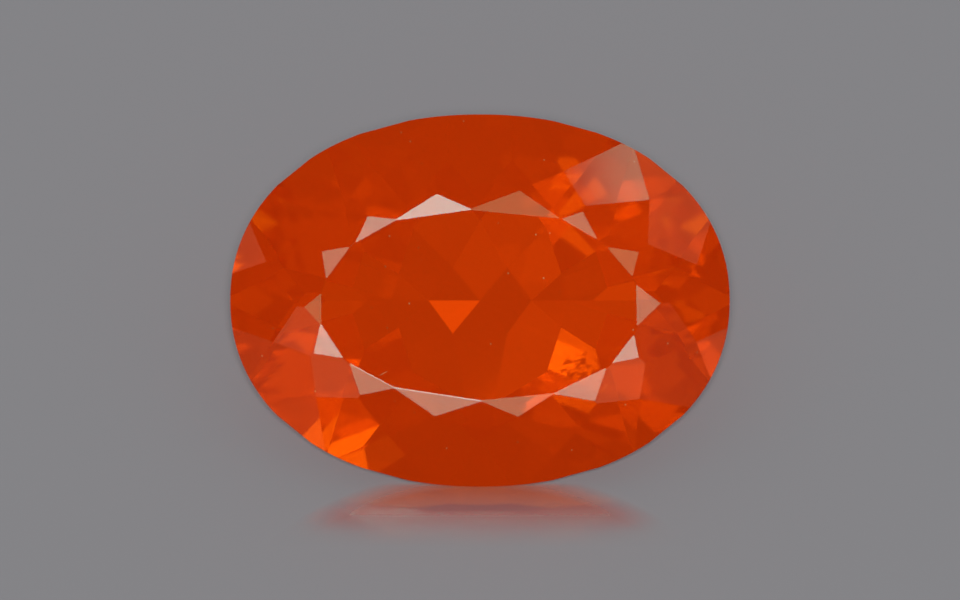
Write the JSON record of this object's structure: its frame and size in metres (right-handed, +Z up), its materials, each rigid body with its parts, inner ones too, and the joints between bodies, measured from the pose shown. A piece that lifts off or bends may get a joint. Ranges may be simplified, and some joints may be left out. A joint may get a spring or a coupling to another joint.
{
  "type": "faceted oval fire opal",
  "caption": "Loose oval fire opal, see-through orange red, with a flat table, a faceted crown and a keeled pavilion, lying on one pavilion facet.",
  "frame": {"origin": "middle of the bottom of the stone's box, on the surface that the stone lies on", "axes": "+X along the stone's length and its keel, -Y the side that the table is turned up towards, +Z up"},
  "size_m": [0.012, 0.007, 0.0061],
  "materials": {
    "fire_opal": "polished, see-through, slightly hazy orange-red opal"
  },
  "bodies": {
    "root": {"fire_opal": "fire_opal"}
  },
  "joints": []
}
